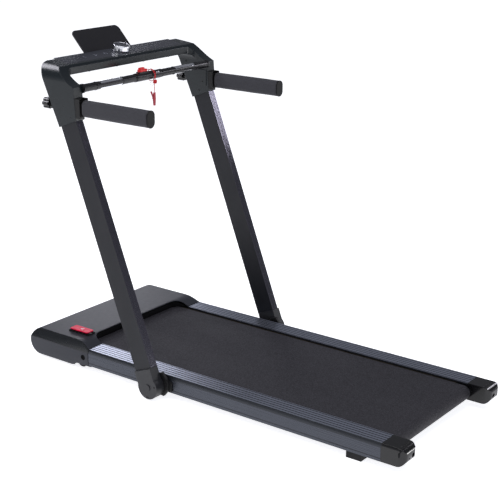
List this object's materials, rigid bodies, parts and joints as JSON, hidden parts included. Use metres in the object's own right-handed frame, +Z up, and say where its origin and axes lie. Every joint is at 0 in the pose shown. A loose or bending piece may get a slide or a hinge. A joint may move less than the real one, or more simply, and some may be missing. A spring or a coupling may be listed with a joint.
{
  "type": "treadmill",
  "caption": "Folding treadmill: low deck with walking belt and motor hood, leaning uprights, console with speed knob, pulse bar and side arms.",
  "frame": {"origin": "on the floor under the middle of the deck", "axes": "+Y along the belt towards the motor hood, +X to the walker's right, +Z up"},
  "size_m": [0.709, 1.49, 1.1014],
  "materials": {
    "rail_aluminium": "anodised blue-grey, ridged",
    "upright_paint": "satin charcoal",
    "frame_paint": "satin black powder coat",
    "steel": "bright turned steel",
    "deck_board": "waxed fibreboard",
    "belt_pvc": "embossed black",
    "rubber": "matt black",
    "hood_plastic": "fine-grained dark slate",
    "console_plastic": "fine-grained dark green-grey",
    "gloss_black": "glossy black",
    "panel_black": null,
    "foam": "closed-cell foam",
    "chrome": "polished chrome",
    "red_plastic": "red moulded plastic",
    "red_cord": "braided red cord",
    "motor_paint": "black painted motor housing",
    "circuit": "green circuit board",
    "aluminium": "plain extruded"
  },
  "bodies": {
    "deck": {"side_rails": "rail_aluminium", "frame_side_tubes": "frame_paint", "frame_cross_tubes": "frame_paint", "deck_board": "deck_board", "deck_cushions": "rubber", "walking_belt": "belt_pvc", "roller_bearings": "steel", "roller_axles": "steel", "tension_bolts": "steel", "rear_caps": "gloss_black", "rear_cap_screws": "steel", "rubber_feet": "rubber", "hood_cover": "hood_plastic", "belly_pan": "hood_plastic", "motor_tray": "frame_paint", "motor_can": "motor_paint", "drive_belt": "rubber", "control_board": "circuit", "heat_sink": "aluminium", "power_inlet": "gloss_black", "switch_bezel": "gloss_black", "pedal_base": "gloss_black", "pedal_spring": "steel", "hinge_brackets": "frame_paint", "hinge_pins": "steel"},
    "upper_frame": {"hinge_shoes": "upright_paint", "uprights": "upright_paint", "console_housing": "console_plastic", "console_cover": "console_plastic", "touch_panel": "panel_black", "console_board": "circuit", "cover_screws": "steel", "holder_bracket": "console_plastic", "cross_bar": "frame_paint", "bar_sleeves": "gloss_black", "sensor_plates": "chrome", "key_socket": "gloss_black", "safety_cord": "red_cord", "cord_knot": "red_cord", "split_ring": "chrome", "cord_clip": "red_plastic", "arm_brackets": "console_plastic"},
    "left_arm": {"left_arm_tube": "frame_paint", "left_arm_grip": "foam"},
    "right_arm": {"right_arm_tube": "frame_paint", "right_arm_grip": "foam"},
    "left_clamp": {"left_clamp_knob": "gloss_black"},
    "right_clamp": {"right_clamp_knob": "gloss_black"},
    "knob": {"speed_knob": "chrome"},
    "holder": {"tablet_holder": "hood_plastic"},
    "key": {"safety_key": "red_plastic"},
    "jaw": {"clip_jaw": "red_plastic"},
    "pedal": {"release_pedal": "red_plastic"},
    "front_roller_set": {"front_roller": "steel", "front_roller_pulley": "aluminium"},
    "rear_roller_set": {"rear_roller": "steel"},
    "rotor": {"motor_rotor": "steel"},
    "left_wheel": {"left_transport_wheel": "rubber"},
    "right_wheel": {"right_transport_wheel": "rubber"},
    "rocker": {"power_switch": "red_plastic"}
  },
  "joints": [
    {"name": "uprights_fold", "type": "hinge", "parent": "deck", "child": "upper_frame", "pos_m": [0, 0.163, 0.044], "axis": [1, 0, 0], "range_deg": [0, 104]},
    {"name": "left_arm_fold", "type": "hinge", "parent": "upper_frame", "child": "left_arm", "pos_m": [-0.33, 0.429, 0.886], "axis": [1, 0, 0], "range_deg": [0, 69]},
    {"name": "right_arm_fold", "type": "hinge", "parent": "upper_frame", "child": "right_arm", "pos_m": [0.33, 0.429, 0.886], "axis": [1, 0, 0], "range_deg": [0, 69]},
    {"name": "left_clamp_turn", "type": "hinge", "parent": "upper_frame", "child": "left_clamp", "pos_m": [-0.33, 0.57, 0.908], "axis": [0, 1, 0], "continuous": true},
    {"name": "right_clamp_turn", "type": "hinge", "parent": "upper_frame", "child": "right_clamp", "pos_m": [0.33, 0.57, 0.908], "axis": [0, 1, 0], "continuous": true},
    {"name": "speed_knob_turn", "type": "hinge", "parent": "upper_frame", "child": "knob", "pos_m": [0, 0.5635, 1.035], "axis": [0, -0.1809, 0.9835], "continuous": true},
    {"name": "holder_tilt", "type": "hinge", "parent": "upper_frame", "child": "holder", "pos_m": [0, 0.606, 1.01], "axis": [1, 0, 0], "range_deg": [-45, 25]},
    {"name": "key_pull", "type": "slide", "parent": "upper_frame", "child": "key", "axis": [0, 0, 1], "range_m": [0, 0.03]},
    {"name": "clip_open", "type": "hinge", "parent": "upper_frame", "child": "jaw", "pos_m": [0.013, 0.4332, 0.888], "axis": [1, 0, 0], "range_deg": [0, 18], "stiffness_Nm_per_rad": 0.3, "springref_deg": -5.73},
    {"name": "pedal_press", "type": "hinge", "parent": "deck", "child": "pedal", "pos_m": [-0.228, 0.601, 0.1045], "axis": [1, 0, 0], "range_deg": [0, 4], "stiffness_Nm_per_rad": 8, "springref_deg": -1.15, "deforming": ["pedal_spring"]},
    {"name": "front_roller_spin", "type": "hinge", "parent": "deck", "child": "front_roller_set", "pos_m": [0, 0.572, 0.0502], "axis": [1, 0, 0], "continuous": true},
    {"name": "rear_roller_spin", "type": "hinge", "parent": "deck", "child": "rear_roller_set", "pos_m": [0, -0.656, 0.0502], "axis": [1, 0, 0], "continuous": true},
    {"name": "motor_spin", "type": "hinge", "parent": "deck", "child": "rotor", "pos_m": [0, 0.66, 0.0522], "axis": [1, 0, 0], "continuous": true},
    {"name": "left_wheel_spin", "type": "hinge", "parent": "deck", "child": "left_wheel", "pos_m": [-0.27, 0.519, 0.024], "axis": [1, 0, 0], "continuous": true},
    {"name": "right_wheel_spin", "type": "hinge", "parent": "deck", "child": "right_wheel", "pos_m": [0.27, 0.519, 0.024], "axis": [1, 0, 0], "continuous": true},
    {"name": "power_rocker", "type": "hinge", "parent": "deck", "child": "rocker", "pos_m": [0.145, 0.734, 0.0565], "axis": [1, 0, 0], "range_deg": [0, 12]}
  ],
  "couplings": [
    {"joint": "rear_roller_spin", "follows": "front_roller_spin", "ratio": 1},
    {"joint": "motor_spin", "follows": "front_roller_spin", "ratio": 2.2143}
  ]
}
